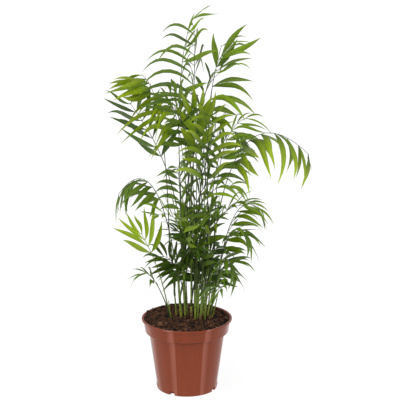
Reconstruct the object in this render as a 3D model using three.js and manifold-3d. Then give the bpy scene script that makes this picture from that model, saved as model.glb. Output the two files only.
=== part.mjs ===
// Parlour palm: a clump of young canes with feather fronds, standing in a round plastic nursery pot.
// Millimetres, +Z up. The origin is the centre of the pot's flat underside, +X is the plant's right and
// -Y its front. The plant stands about half a metre tall over a pot of 120 mm.
import * as THREE from "three";
import { mergeVertices } from "three/addons/utils/BufferGeometryUtils.js";
import Module from "manifold-3d";

const wasm = await Module();
wasm.setup();

const DEGREE = Math.PI / 180;
const UP = new THREE.Vector3(0, 0, 1);
const GAP = 0.3; // clear space between neighbouring solids
const OWN_GAP = 0.18; // clear space between a leaflet and its own rib
const SLIVER = 0.0001; // an overlap of this volume counts as none

const POT = {
  color: 0xa8502f,
  rimRadius: 60,
  height: 97,
  lip: 2.4, // depth of the rolled rim
  collarTopRadius: 57.6,
  collarFootRadius: 55.4,
  collarFoot: 79, // height of the collar's lower edge
  bodyTopRadius: 51.4,
  bodyFootRadius: 40.4,
  footBand: 5, // height of the plain band at the foot
  edge: 0.8, // rounding of the edges
  wall: 1.9,
  floor: 6.2,
  flutes: 4, // shallow panels sunk in the wall, with a broad rib between each two
  fluteTurn: 4, // middle of the first panel, in degrees round from the front
  fluteSpan: 42,
  fluteDepth: 0.9,
  fluteEdge: [-1.5, 3], // degrees outside and inside the panel's border where its edge fades
  notchTurn: -29, // first drain notch, in degrees round from the front
  notch: [14, 8, 11], // the box that cuts a notch: half of its height stands above the ground
  sides: 72,
};

const SOIL = {
  color: 0x34241a,
  edge: 94.2, // height at the rim
  crown: 3.0, // how much higher its middle stands
  lump: 1.2,
  reach: 54,
  rings: 6,
  sides: 32,
  socket: 6, // how deep a cane's foot goes in
};

const CANE = { color: 0x6f8f33, sides: 6, steps: 5, slim: 0.62 }; // slim: top radius over foot radius

const RIB = { thick: 1.0, thin: 0.5, root: 1.2, stalkSteps: 3 }; // root: half of a leaflet's root width

const LEAFLET = {
  thick: 0.9,
  sideways: 0.1, // least share of its run that goes sideways from the rib
  steepest: 1.7, // most that it rises out of the blade for each step sideways
  // its sections by its number of bends: place along it, and half its width as a share
  sections: { 1: [[0.4, 0.5]], 2: [[0.28, 0.45], [0.64, 0.42]] },
};

const TONES = { deep: 0x2c551b, mid: 0x3e7320, fresh: 0x5c9722, pale: 0x8fb41f };

// Each cane: its foot on the soil, how far its top leans sideways, the height of its top and its radius.
const CANES = [
  { foot: [-20, -3], lean: [-4, -2], top: 122, radius: 1.7 },
  { foot: [-13, 5], lean: [-7, 2], top: 190, radius: 2.0 },
  { foot: [-7, -6], lean: [-4, -4], top: 176, radius: 2.1 },
  { foot: [-2, 6], lean: [-5, 2], top: 204, radius: 2.1 },
  { foot: [6, -1], lean: [0, -1], top: 292, radius: 2.4 },
  { foot: [11, -9], lean: [1, -6], top: 170, radius: 2.2 },
  { foot: [15, -1], lean: [-2, 1], top: 240, radius: 2.4 },
  { foot: [17.5, -10], lean: [3, -8], top: 160, radius: 2.2 },
  { foot: [23, -8], lean: [6, -5], top: 172, radius: 2.0 },
  { foot: [29, -5], lean: [8, -2], top: 150, radius: 1.9 },
  { foot: [27, 4], lean: [7, 5], top: 190, radius: 2.1 },
  { foot: [0, 18], lean: [-5, 12], top: 190, radius: 2.1 },
  { foot: [10, 20], lean: [1, 14], top: 205, radius: 2.2 },
  { foot: [20, 15], lean: [6, 12], top: 196, radius: 2.1 },
];

// Every frond has these values unless its row says otherwise.
const FROND = {
  stalk: 0.34, // share of the rib that is bare
  pairs: 8, // leaflets on each side
  leaf: 50, // length of the longest leaflet
  fade: 0.42, // how much shorter they are at the rib's end
  width: 8,
  sweep: [64, 26], // angle of a leaflet from the rib, at the first pair and at the last
  droop: 0.35, // how far a leaflet's tip falls, as a share of its length
  lift: 12, // angle by which a leaflet leaves the blade upward
  roll: 0, // turn of the blade about its rib
  bends: 1,
  tone: "mid",
};

// Each frond: its cane, the height where its stalk leaves the cane, its heading in degrees round from
// +X, how far out and how high its rib ends, and the knee that bends it: a share of the reach, a height.
const FRONDS = [
  { name: "top_arch", cane: 4, from: 288, heading: 330, reach: 3, tip: 472, knee: [0.5, 400], pairs: 8,
      leaf: 94, stalk: 0.5, sweep: [56, 54], width: 7, droop: 0.54, lift: 26, bends: 2 },
  { name: "spire", cane: 3, from: 200, heading: 0, reach: 12, tip: 490, knee: [-1.3, 427], pairs: 6,
      leaf: 56, fade: 0.3, stalk: 0.68, sweep: [56, 24], width: 10, lift: -34, roll: 30, droop: 0.14,
      bends: 2, tone: "fresh" },
  { name: "top_right", cane: 6, from: 236, heading: 352, reach: 29, tip: 458, knee: [0.3, 388],
      pairs: 6, leaf: 80, stalk: 0.6, sweep: [84, 14], width: 9.5, lift: -40, droop: 0.34, bends: 2,
      tone: "fresh" },
  { name: "left_fan", cane: 1, from: 186, heading: 186, reach: 34, tip: 420, knee: [0.1, 402], pairs: 5,
      leaf: 73, stalk: 0.875, sweep: [64, 40], width: 14, droop: 0.12, lift: -50, bends: 2,
      tone: "fresh" },
  { name: "left_high", cane: 11, from: 187, heading: 184, reach: 66, tip: 380, knee: [0.06, 296],
      pairs: 7, leaf: 66, stalk: 0.6, sweep: [46, 38], droop: 0.12, roll: 72, bends: 2, tone: "deep" },
  { name: "right_droop", cane: 8, from: 168, heading: 352, reach: 125, tip: 323, knee: [0.19, 420],
      pairs: 8, leaf: 62, stalk: 0.54, sweep: [90, 50], width: 12, droop: 0.3, lift: -34, bends: 2 },
  { name: "front_arcs", cane: 4, from: 200, heading: 198, reach: 25, tip: 390, knee: [0.2, 355],
      pairs: 5, leaf: 84, stalk: 0.76, sweep: [64, 50], width: 10, droop: 0.58, lift: -42, bends: 2,
      tone: "fresh" },
  { name: "right_small", cane: 10, from: 186, heading: 8, reach: 42, tip: 362, knee: [-0.04, 354],
      pairs: 7, leaf: 58, stalk: 0.58, width: 6.5, roll: 40, lift: -20, droop: 0.36, bends: 2,
      tone: "fresh" },
  { name: "right_arch", cane: 7, from: 155, heading: 290, reach: 26, tip: 376, knee: [0.2, 330],
      pairs: 7, leaf: 64, stalk: 0.6, sweep: [50, 34], width: 8.5, droop: 0.4, lift: -6, bends: 2 },
  { name: "left_droop", cane: 2, from: 166, heading: 184, reach: 74, tip: 268, knee: [0.32, 338],
      pairs: 9, leaf: 56, stalk: 0.56, sweep: [84, 34], width: 9, droop: 0.2, lift: -34, bends: 2 },
  { name: "pale_fan", cane: 0, from: 119, heading: 184, reach: 33, tip: 214, knee: [0.3, 172], pairs: 4,
      leaf: 56, stalk: 0.7, sweep: [42, 8], width: 8, droop: 0.05, roll: 80, tone: "pale" },
  { name: "left_low", cane: 0, from: 112, heading: 196, reach: 36, tip: 160, knee: [0.6, 172], pairs: 6,
      leaf: 36, stalk: 0.55, width: 9, droop: 0.3 },
  { name: "centre_blade", cane: 5, from: 167, heading: 278, reach: 16, tip: 380, knee: [0.3, 340],
      pairs: 4, leaf: 60, stalk: 0.76, sweep: [34, 10], width: 12, lift: 2, droop: 0.03, bends: 2,
      tone: "fresh" },
  { name: "right_mid_high", cane: 9, from: 147, heading: 8, reach: 54, tip: 246, knee: [0.35, 276],
      pairs: 9, leaf: 52, stalk: 0.36, width: 9.5, droop: 0.34, lift: -30, bends: 2, tone: "fresh" },
  { name: "right_mid", cane: 9, from: 141, heading: 338, reach: 46, tip: 218, knee: [0.42, 250],
      leaf: 50, width: 9.5, droop: 0.34, lift: -22, bends: 2 },
  { name: "right_low", cane: 9, from: 134, heading: 322, reach: 40, tip: 176, knee: [0.45, 208],
      pairs: 7, leaf: 44, width: 9.5, lift: -12 },
  { name: "top_blade", cane: 13, from: 186, heading: 0, reach: 18, tip: 442, knee: [-0.3, 424],
      pairs: 2, leaf: 58, fade: 0.1, stalk: 0.93, sweep: [14, 10], width: 10, lift: 0, roll: 80,
      droop: 0.03, bends: 2, tone: "fresh" },
  { name: "back_arch", cane: 13, from: 192, heading: 58, reach: 92, tip: 318, knee: [0.3, 376],
      pairs: 9, leaf: 54, stalk: 0.44, sweep: [64, 28], width: 8, droop: 0.35, lift: -20, bends: 2 },
];

// The less ordered fronds inside the clump, in tiers. A tier's fronds stand round by one step, and reach
// further to the front and back than to the sides. Pairs of numbers run from its first frond to its last.
const TIERS = [
  { name: "low", first: 35, canes: [12, 11, 1, 5, 13, 2, 7, 9, 4, 8], from: [116, 160], side: 31,
      depth: 60, tip: [146, 222], knee: [0.4, 0.75], pairs: 9, leaf: 44, width: 8, stalk: 0.3,
      tones: ["deep", "mid"] },
  { name: "middle", first: 80, canes: [12, 5, 11, 7, 13, 2, 10, 6, 3], from: [150, 190], side: 48,
      depth: 84, tip: [222, 300], knee: [0.35, 0.9], pairs: 9, leaf: 54, width: 8.5, stalk: 0.34,
      tones: ["mid", "fresh"] },
  { name: "high", first: 60, canes: [12, 13, 11, 6, 4, 3, 10], from: [185, 232], side: 40, depth: 76,
      tip: [330, 420], knee: [0.15, 0.85], pairs: 7, leaf: 62, width: 8.5, stalk: 0.55,
      tones: ["mid", "fresh"] },
];
const TIER_STEP = 137.5; // degrees from each frond of a tier to the next
const TIER_KNEE = 45; // how much a far knee is raised
const TIER_VARY = { roll: 55, lift: 16, droop: 0.2 }; // how far its fronds differ from one another

// Ribs turn a little about their cane until they stand clear of what is there already.
const NUDGES = [0, 5, -5, 10, -10, 16, -16, 22, -22, 30, -30, 40, -40, 55, -55, 75, -75];

// What a leaflet tries in turn to find clear space: swing along the rib and raise out of the blade, both
// in degrees, and a share of its length.
const TRIALS = [
  [0, 0, 1], [0, 9, 1], [0, -9, 1], [7, 0, 1], [-7, 0, 1], [6, 16, 1], [-6, -16, 1], [12, 8, 0.95],
  [0, 24, 0.9], [0, -24, 0.9], [0, 0, 0.8], [9, 14, 0.8], [-9, -14, 0.8], [0, 30, 0.75],
  [0, 0, 0.62], [12, 20, 0.62], [-12, -20, 0.62], [0, 0, 0.45], [10, 20, 0.45],
];

const VARY = { length: 0.1, sweep: 8, lift: 12, droop: 0.12 }; // how far one leaflet differs from the next

const palm = new THREE.Group();

function addNode(name, geometry, color, roughness) {
  const material = new THREE.MeshStandardMaterial({ color, roughness, metalness: 0 });
  const mesh = new THREE.Mesh(geometry, material);
  mesh.name = name;
  palm.add(mesh);
}

function mix(a, b, share) {
  return a + (b - a) * share;
}

// A steady pseudo-random number from 0 to 1 for each seed.
function chance(seed) {
  const wave = Math.sin(seed * 12.9898) * 43758.5453;
  return wave - Math.floor(wave);
}

// A closed surface put together from points and triangles.
class Shell {
  constructor() {
    this.points = [];
    this.faces = [];
  }

  point(vector) {
    this.points.push(vector);
    return this.points.length - 1;
  }

  // A ring of points, as their numbers.
  ring(vectors) {
    return vectors.map((vector) => this.point(vector));
  }

  quad(a, b, c, d) {
    this.faces.push([a, b, c], [a, c, d]);
  }

  // A bent quad, split along the diagonal that stands out.
  roof(a, b, c, d) {
    const [start, ...others] = [a, b, c, d].map((i) => this.points[i]);
    const [ab, ac, ad] = others.map((point) => point.clone().sub(start));
    if (ac.cross(ad).dot(ab) > 0) this.quad(b, c, d, a);
    else this.quad(a, b, c, d);
  }

  // The wall between two rings with the same number of points.
  wall(low, high) {
    low.forEach((start, i) => {
      const next = (i + 1) % low.length;
      this.quad(start, low[next], high[next], high[i]);
    });
  }

  walls(rings) {
    for (let i = 1; i < rings.length; i += 1) this.wall(rings[i - 1], rings[i]);
  }

  // A fan that closes a ring round a middle point.
  fan(ring, middle) {
    const centre = this.point(middle);
    ring.forEach((start, i) => this.faces.push([centre, start, ring[(i + 1) % ring.length]]));
  }

  geometry() {
    const shape = new THREE.BufferGeometry();
    const numbers = this.points.flatMap((point) => point.toArray());
    shape.setAttribute("position", new THREE.Float32BufferAttribute(numbers, 3));
    shape.setIndex(this.faces.flat());
    return shape;
  }

  solid() {
    return solidOf(this.geometry());
  }
}

function solidOf(geometry) {
  const bare = geometry.clone();
  bare.deleteAttribute("normal");
  bare.deleteAttribute("uv");
  const merged = mergeVertices(bare);
  return new wasm.Manifold(new wasm.Mesh({
    numProp: 3,
    vertProperties: Float32Array.from(merged.attributes.position.array),
    triVerts: Uint32Array.from(merged.index.array),
  }));
}

function geometryOf(solid) {
  const mesh = solid.getMesh();
  const shape = new THREE.BufferGeometry();
  shape.setAttribute("position", new THREE.Float32BufferAttribute(mesh.vertProperties, 3));
  shape.setIndex(new THREE.Uint32BufferAttribute(mesh.triVerts, 1));
  return shape;
}

function circle(sides, pointAt) {
  return Array.from({ length: sides }, (_, i) => pointAt((i * 2 * Math.PI) / sides));
}

// ---- pot

// Outer radius of the wall under the collar at a height.
function bodyRadius(height) {
  return mix(POT.bodyFootRadius, POT.bodyTopRadius, height / POT.collarFoot);
}

// Share of a flute's full depth at an angle round from the front, with soft edges.
function fluteShare(degrees) {
  const pitch = 360 / POT.flutes;
  const turned = THREE.MathUtils.euclideanModulo(degrees - POT.fluteTurn + pitch / 2, pitch);
  const inside = POT.fluteSpan / 2 - Math.abs(turned - pitch / 2);
  return THREE.MathUtils.smoothstep(inside, ...POT.fluteEdge);
}

// The wall from the outer foot over the rim to the inner foot: [radius, height, share of the flutes].
function potProfile() {
  const { rimRadius, height, lip, edge, wall, collarTopRadius, collarFootRadius, collarFoot } = POT;
  return [
    [POT.bodyFootRadius - edge, 0, 0],
    [POT.bodyFootRadius, edge, 0],
    [bodyRadius(POT.footBand), POT.footBand, 0],
    [bodyRadius(POT.footBand + 1.5), POT.footBand + 1.5, 1],
    [POT.bodyTopRadius, collarFoot, 1],
    [collarFootRadius - edge, collarFoot, 0],
    [collarFootRadius, collarFoot + edge, 0],
    [collarTopRadius, height - lip - edge, 0],
    [rimRadius - edge, height - lip, 0],
    [rimRadius, height - lip + edge, 0],
    [rimRadius, height - edge, 0],
    [rimRadius - edge, height, 0],
    [collarTopRadius - wall + edge, height, 0],
    [collarTopRadius - wall, height - edge, 0],
    [collarFootRadius - wall, collarFoot + 1, 0],
    [POT.bodyTopRadius - wall, collarFoot - 2, 0],
    [bodyRadius(POT.floor) - wall, POT.floor, 0],
  ];
}

function potRing([radius, height, share]) {
  return circle(POT.sides, (turn) => {
    const reach = radius - share * POT.fluteDepth * fluteShare(turn / DEGREE);
    return new THREE.Vector3(reach * Math.sin(turn), -reach * Math.cos(turn), height);
  });
}

function buildPot() {
  const shell = new Shell();
  const rings = potProfile().map((station) => shell.ring(potRing(station)));
  shell.walls(rings);
  shell.fan(rings[0].slice().reverse(), new THREE.Vector3(0, 0, 0));
  shell.fan(rings[rings.length - 1], new THREE.Vector3(0, 0, POT.floor));
  let pot = shell.solid();
  for (let i = 0; i < POT.flutes; i += 1) {
    const notch = new THREE.BoxGeometry(...POT.notch);
    notch.translate(POT.bodyFootRadius, 0, 0);
    notch.rotateZ((POT.notchTurn + (i * 360) / POT.flutes - 90) * DEGREE);
    pot = pot.subtract(solidOf(notch));
  }
  return pot;
}

// ---- soil

// Height of the soil's surface: a low heap with lumps, lowest at the rim.
function soilHeight(x, y) {
  const out = Math.min(1, Math.hypot(x, y) / SOIL.reach);
  const lumps = Math.sin(x * 0.31 + 1.2) * Math.cos(y * 0.27) + 0.6 * Math.sin(x * 0.13 - y * 0.22);
  return SOIL.edge + SOIL.crown * (1 - out * out) + SOIL.lump * lumps * (1 - out * 0.5);
}

function soilRing(radius, height) {
  return circle(SOIL.sides, (turn) => {
    const x = radius * Math.cos(turn);
    const y = radius * Math.sin(turn);
    return new THREE.Vector3(x, y, height ?? soilHeight(x, y));
  });
}

function buildSoil() {
  const inset = POT.wall + GAP * 1.6;
  const foot = POT.floor + GAP;
  const shoulder = POT.collarFoot - 4;
  const top = POT.collarFootRadius - inset;
  const shell = new Shell();
  const rings = [
    soilRing(bodyRadius(foot) - inset, foot),
    soilRing(bodyRadius(shoulder) - inset, shoulder),
    soilRing(top, POT.collarFoot + 4),
  ].map((ring) => shell.ring(ring));
  for (let i = SOIL.rings; i > 0; i -= 1) rings.push(shell.ring(soilRing((top * i) / SOIL.rings)));
  shell.walls(rings);
  shell.fan(rings[0].slice().reverse(), new THREE.Vector3(0, 0, foot));
  shell.fan(rings[rings.length - 1], new THREE.Vector3(0, 0, soilHeight(0, 0)));
  return CANES.reduce((soil, cane) => {
    const socket = caneShell(cane, GAP * 1.2, 1, caneShareAt(cane, POT.height + 4));
    return soil.subtract(socket.solid());
  }, shell.solid());
}

// ---- canes

function caneFoot(cane) {
  return soilHeight(...cane.foot) - SOIL.socket;
}

function caneShareAt(cane, height) {
  return (height - caneFoot(cane)) / (cane.top - caneFoot(cane));
}

// Middle of a cane at a share of its height: it leans out a little faster near its foot.
function caneMiddle(cane, share) {
  const ease = share * (1.4 - 0.4 * share);
  return new THREE.Vector3(
    cane.foot[0] + cane.lean[0] * ease,
    cane.foot[1] + cane.lean[1] * ease,
    mix(caneFoot(cane), cane.top, share),
  );
}

function caneRadius(cane, share) {
  return cane.radius * mix(1, CANE.slim, share);
}

// A cane up to a share of its height, or, grown a little all round, the socket that it stands in.
function caneShell(cane, grow, steps, reach) {
  const shell = new Shell();
  const middles = Array.from({ length: steps + 1 }, (_, i) => caneMiddle(cane, (reach * i) / steps));
  middles[0].z -= grow;
  const rings = middles.map((middle, i) => shell.ring(circle(CANE.sides, (turn) => {
    const out = caneRadius(cane, (reach * i) / steps) + grow;
    return new THREE.Vector3(out * Math.cos(turn), out * Math.sin(turn), 0).add(middle);
  })));
  shell.walls(rings);
  shell.fan(rings[0].slice().reverse(), middles[0]);
  shell.fan(rings[steps], middles[steps]);
  return shell;
}

// ---- fronds

// The rib's line: from beside its cane through the knee to the tip.
function frondCurve(frond, turn) {
  const cane = CANES[frond.cane];
  const share = caneShareAt(cane, frond.from);
  const out = new THREE.Vector3(Math.cos(turn), Math.sin(turn), 0);
  const stand = caneRadius(cane, share) + RIB.thick + GAP * 1.5;
  const start = caneMiddle(cane, share).addScaledVector(out, stand);
  const at = (reach, height) => start.clone().addScaledVector(out, reach).setZ(height);
  const [kneeShare, kneeHeight] = frond.knee;
  return new THREE.QuadraticBezierCurve3(
    start,
    at(kneeShare * frond.reach, kneeHeight),
    at(frond.reach, frond.tip),
  );
}

// The frond's own directions at a share of its rib: along it, across the blade and out of the blade.
function frondFrame(frond, share) {
  const along = frond.curve.getTangentAt(share).normalize();
  const across = new THREE.Vector3(-Math.sin(frond.turn), Math.cos(frond.turn), 0);
  across.addScaledVector(along, -across.dot(along)).normalize();
  across.applyAxisAngle(along, frond.roll * DEGREE);
  const out = new THREE.Vector3().crossVectors(along, across).normalize();
  return { middle: frond.curve.getPointAt(share), along, across, out };
}

// Shares of the rib where its rings stand: up the stalk, then before and after each pair of leaflets.
function ribShares(frond) {
  const shares = Array.from({ length: RIB.stalkSteps }, (_, i) => (frond.stalk * i) / RIB.stalkSteps);
  const half = RIB.root / frond.curve.getLength();
  for (let pair = 0; pair < frond.pairs; pair += 1) {
    const share = mix(frond.stalk + half, 1 - half, pair / (frond.pairs - 1));
    shares.push(share - half, Math.min(1, share + half));
  }
  return shares;
}

// A three-sided ring of the rib: left edge, right edge and keel.
function ribRing(frond, share) {
  const { middle, across, out } = frondFrame(frond, share);
  const radius = mix(RIB.thick, RIB.thin, share);
  return [
    middle.clone().addScaledVector(across, radius).addScaledVector(out, radius * 0.5),
    middle.clone().addScaledVector(across, -radius).addScaledVector(out, radius * 0.5),
    middle.clone().addScaledVector(out, -radius),
  ];
}

// Length of the leaflet at a place along the blade, 0 at the first pair: shorter at both ends.
function leafletLength(frond, place) {
  return frond.leaf * (1 - frond.fade * place * place) * (0.78 + 0.22 * Math.min(1, place * 4));
}

// A leaflet's sections, each with a back edge, a front edge and a ridge under them, and its tip.
function leafletShape(frond, frame, side, place, [swing, raise, share]) {
  const seed = frond.seed + place * 7 + side;
  const vary = (kind, spread) => spread * (2 * chance(seed + kind * 31) - 1);
  const length = leafletLength(frond, place) * share * (1 + vary(1, VARY.length));
  const width = frond.width * (1 - (frond.fade * place) / 1.2);
  const sweep = (mix(...frond.sweep, place) + swing + vary(2, VARY.sweep)) * DEGREE;
  const lift = (frond.lift + raise + vary(3, VARY.lift)) * DEGREE;
  const droop = frond.droop + vary(4, VARY.droop);
  const flat = frame.along.clone().multiplyScalar(Math.cos(sweep))
    .addScaledVector(frame.across, side * Math.sin(sweep));
  const level = new THREE.Vector3().crossVectors(flat, frame.out).multiplyScalar(side);
  const aim = flat.multiplyScalar(Math.cos(lift)).addScaledVector(frame.out, Math.sin(lift));
  const root = frame.middle.clone().addScaledVector(frame.across, side * RIB.thin);
  const middleAt = (u) => root.clone().addScaledVector(aim, length * u)
    .addScaledVector(UP, -droop * length * u * u);
  const sections = LEAFLET.sections[frond.bends].map(([u, half]) => {
    const run = aim.clone().addScaledVector(UP, -2 * droop * u).normalize();
    const wide = level.clone().addScaledVector(run, -level.dot(run)).normalize();
    const up = new THREE.Vector3().crossVectors(wide, run).multiplyScalar(side).normalize();
    return [
      middleAt(u).addScaledVector(wide, -half * width),
      middleAt(u).addScaledVector(wide, half * width),
      middleAt(u).addScaledVector(up, -LEAFLET.thick),
    ];
  });
  return { sections, aim, tip: middleAt(1) };
}

// Adds a leaflet's sections to a shell, closed at its tip, and returns the first one.
function growBlade(shell, side, shape) {
  const rings = shape.sections.map(([behind, ahead, ridge]) =>
    shell.ring(side > 0 ? [behind, ahead, ridge] : [ahead, behind, ridge]));
  shell.walls(rings);
  shell.fan(rings[rings.length - 1], shape.tip);
  return rings[0];
}

// Adds a leaflet that grows from the side of the rib between two of its rings, and returns its root.
function growLeaflet(shell, back, front, side, shape) {
  const [p, q, r, s] = side > 0
    ? [back[0], front[0], front[2], back[2]]
    : [front[1], back[1], back[2], front[2]];
  const [m, n, k] = growBlade(shell, side, shape);
  shell.roof(p, q, n, m);
  shell.roof(q, r, k, n);
  shell.roof(s, p, m, k);
  shell.faces.push([r, s, k]);
  return [s, r, q, p];
}

// The leaflet by itself, closed at its root.
function leafletSolid(back, front, side, shape) {
  const shell = new Shell();
  shell.quad(...growLeaflet(shell, shell.ring(back), shell.ring(front), side, shape));
  return shell.solid();
}

// The leaflet without its root, which has to stay clear of its own rib and of the leaflet opposite.
function bladeSolid(side, shape) {
  const shell = new Shell();
  const [m, n, k] = growBlade(shell, side, shape);
  shell.faces.push([k, n, m]);
  return shell.solid();
}

// ---- keeping clear

const standing = []; // every solid that stands already, with its box and its owner

function boxOf(solid) {
  const { min, max } = solid.boundingBox();
  return new THREE.Box3(new THREE.Vector3(...min), new THREE.Vector3(...max));
}

function stand(solid, owner, pair) {
  standing.push({ solid, box: boxOf(solid), owner, pair });
}

function isClear(solid, isOwn) {
  const near = boxOf(solid).expandByScalar(GAP * 1.5);
  return standing.every((other) => isOwn(other) || !near.intersectsBox(other.box)
    || solid.minGap(other.solid, GAP * 1.5) >= GAP);
}

function ribSolid(rings) {
  const shell = new Shell();
  const numbers = rings.map((ring) => shell.ring(ring));
  shell.walls(numbers);
  shell.faces.push(numbers[0].slice().reverse(), numbers[numbers.length - 1]);
  return shell.solid();
}

// The frond's rib at the first turn that is clear.
function placeRib(row, index) {
  const { from, cane } = row;
  const frond = { ...FROND, ...row, seed: index * 17, from: Math.min(from, CANES[cane].top - 3) };
  for (const nudge of NUDGES) {
    frond.turn = (frond.heading + nudge) * DEGREE;
    frond.curve = frondCurve(frond, frond.turn);
    frond.shares = ribShares(frond);
    frond.rings = frond.shares.map((share) => ribRing(frond, share));
    frond.rib = ribSolid(frond.rings);
    if (isClear(frond.rib, () => false)) {
      stand(frond.rib, frond.name, null);
      return frond;
    }
  }
  return null;
}

// Whether a leaflet leaves its rib sideways enough for a root that doesn't fold over it.
function leavesWell(frame, side, aim) {
  const sideways = side * aim.dot(frame.across);
  return sideways > LEAFLET.sideways && aim.dot(frame.out) < LEAFLET.steepest * sideways;
}

// The first trial of a leaflet that is clear, or nothing, where there is no room for it.
function placeLeaflet(frond, pair, side, opposite) {
  const ring = RIB.stalkSteps + 2 * pair;
  const frame = frondFrame(frond, (frond.shares[ring] + frond.shares[ring + 1]) / 2);
  const isOwn = (other) => other.owner === frond.name && (other.pair === null || other.pair === pair);
  const cutsInto = (solid, other) => solid.intersect(other).volume() > SLIVER;
  for (const trial of TRIALS) {
    const shape = leafletShape(frond, frame, side, pair / (frond.pairs - 1), trial);
    if (!leavesWell(frame, side, shape.aim)) continue;
    const solid = leafletSolid(frond.rings[ring], frond.rings[ring + 1], side, shape);
    const blade = bladeSolid(side, shape);
    const offRib = blade.minGap(frond.rib, GAP) >= OWN_GAP && !cutsInto(solid, frond.rib);
    const offOpposite = !opposite
      || (blade.minGap(opposite.blade, GAP) >= OWN_GAP && !cutsInto(solid, opposite.solid));
    if (offRib && offOpposite && isClear(solid, isOwn)) {
      stand(solid, frond.name, pair);
      return { shape, blade, solid };
    }
  }
  return null;
}

// The whole frond: its rib, with a leaflet on each side of each pair that found room.
function frondShell(frond) {
  const shell = new Shell();
  const rings = frond.rings.map((ring) => shell.ring(ring));
  shell.faces.push(rings[0].slice().reverse(), rings[rings.length - 1]);
  for (let i = 1; i < rings.length; i += 1) {
    const [low, high] = [rings[i - 1], rings[i]];
    const pair = (i - 1 - RIB.stalkSteps) / 2;
    const hasPair = pair >= 0 && Number.isInteger(pair);
    const right = hasPair ? placeLeaflet(frond, pair, -1, null) : null;
    const left = hasPair ? placeLeaflet(frond, pair, 1, right) : null;
    shell.quad(low[0], low[1], high[1], high[0]);
    if (right) growLeaflet(shell, low, high, -1, right.shape);
    else shell.quad(low[1], low[2], high[2], high[1]);
    if (left) growLeaflet(shell, low, high, 1, left.shape);
    else shell.quad(low[2], low[0], high[0], high[2]);
  }
  return shell;
}

// The rows of the tiers' fronds, worked out from each tier's first and last values.
function tierRows() {
  return TIERS.flatMap((tier) => tier.canes.map((cane, i) => {
    const count = tier.canes.length;
    const heading = tier.first + i * TIER_STEP;
    const share = ((i * 3) % count) / (count - 1);
    const from = mix(...tier.from, share);
    const tip = mix(...tier.tip, share);
    const [kneeShare, kneeRise] = tier.knee;
    const vary = (kind) => 2 * chance(heading + kind) - 1;
    return {
      name: `${tier.name}_${i + 1}`,
      cane,
      from,
      heading,
      reach: mix(tier.side, tier.depth, Math.sin(heading * DEGREE) ** 2),
      tip,
      knee: [kneeShare, mix(from, tip, kneeRise) + TIER_KNEE * kneeShare],
      pairs: tier.pairs,
      leaf: tier.leaf,
      width: tier.width,
      stalk: tier.stalk,
      roll: TIER_VARY.roll * vary(1),
      lift: FROND.lift + TIER_VARY.lift * vary(2),
      droop: FROND.droop + TIER_VARY.droop * vary(3),
      tone: tier.tones[i % tier.tones.length],
    };
  }));
}

// ---- the plant put together

const pot = buildPot();
stand(pot, "pot", null);
addNode("pot", geometryOf(pot), POT.color, 0.38);

const soil = buildSoil();
stand(soil, "soil", null);
addNode("soil", geometryOf(soil), SOIL.color, 0.95);

CANES.forEach((cane, i) => {
  const shell = caneShell(cane, 0, CANE.steps, 1);
  stand(shell.solid(), "canes", null);
  addNode(`cane_${i + 1}`, shell.geometry(), CANE.color, 0.55);
});

const fronds = [...FRONDS, ...tierRows()].map(placeRib).filter((frond) => frond !== null);
fronds.forEach((frond) => {
  addNode(`frond_${frond.name}`, frondShell(frond).geometry(), TONES[frond.tone], 0.5);
});

export default palm;
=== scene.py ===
# Parlour palm in its nursery pot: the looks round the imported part.
# Lengths are millimetres until a piece is made. +Z is up, -Y is the front, +X the plant's right.
import math

import bpy
import numpy as np
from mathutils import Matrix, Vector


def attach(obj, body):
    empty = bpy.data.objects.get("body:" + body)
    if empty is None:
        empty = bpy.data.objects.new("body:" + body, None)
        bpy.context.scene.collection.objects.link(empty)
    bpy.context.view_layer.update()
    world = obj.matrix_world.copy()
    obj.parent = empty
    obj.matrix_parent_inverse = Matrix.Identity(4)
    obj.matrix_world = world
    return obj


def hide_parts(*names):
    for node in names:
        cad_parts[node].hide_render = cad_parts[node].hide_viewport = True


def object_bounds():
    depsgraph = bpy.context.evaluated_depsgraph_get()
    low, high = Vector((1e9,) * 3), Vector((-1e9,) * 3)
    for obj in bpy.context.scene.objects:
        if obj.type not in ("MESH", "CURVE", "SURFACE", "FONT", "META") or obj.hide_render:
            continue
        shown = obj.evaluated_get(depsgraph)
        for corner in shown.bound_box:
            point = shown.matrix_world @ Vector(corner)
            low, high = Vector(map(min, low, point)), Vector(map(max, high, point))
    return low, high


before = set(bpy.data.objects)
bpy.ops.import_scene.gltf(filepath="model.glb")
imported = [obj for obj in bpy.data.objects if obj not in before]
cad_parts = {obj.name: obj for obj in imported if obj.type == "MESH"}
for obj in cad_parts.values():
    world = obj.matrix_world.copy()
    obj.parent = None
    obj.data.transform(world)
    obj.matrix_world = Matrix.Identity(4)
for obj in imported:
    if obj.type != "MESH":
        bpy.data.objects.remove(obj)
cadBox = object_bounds()
print("frame loaded:", len(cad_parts), "nodes")

mm = 0.001
gap = 0.3  # clear space that the part keeps between its solids
reached = dict(rib=0.2, tip=0.3)  # how near to its node a rib's end and a leaflet's tip have to be
upward = np.array([0.0, 0.0, 1.0])


def mix(a, b, share):
    # a + (b - a) share
    return a + (b - a) * share


def smooth(low, high, value):
    # s s (3 - 2 s), where s runs from 0 at low to 1 at high
    s = np.clip((value - low) / (high - low), 0.0, 1.0)
    return s * s * (3 - 2 * s)


def dot(a, b):
    return np.sum(a * b, axis=-1, keepdims=True)


def unit(v):
    return v / np.maximum(np.linalg.norm(v, axis=-1, keepdims=True), 1e-9)


def chance(seed):
    # the fraction of sin(12.9898 seed) 43758.5453, a steady random number from 0 to 1
    wave = np.sin(np.asarray(seed, float) * 12.9898) * 43758.5453
    return wave - np.floor(wave)


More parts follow.
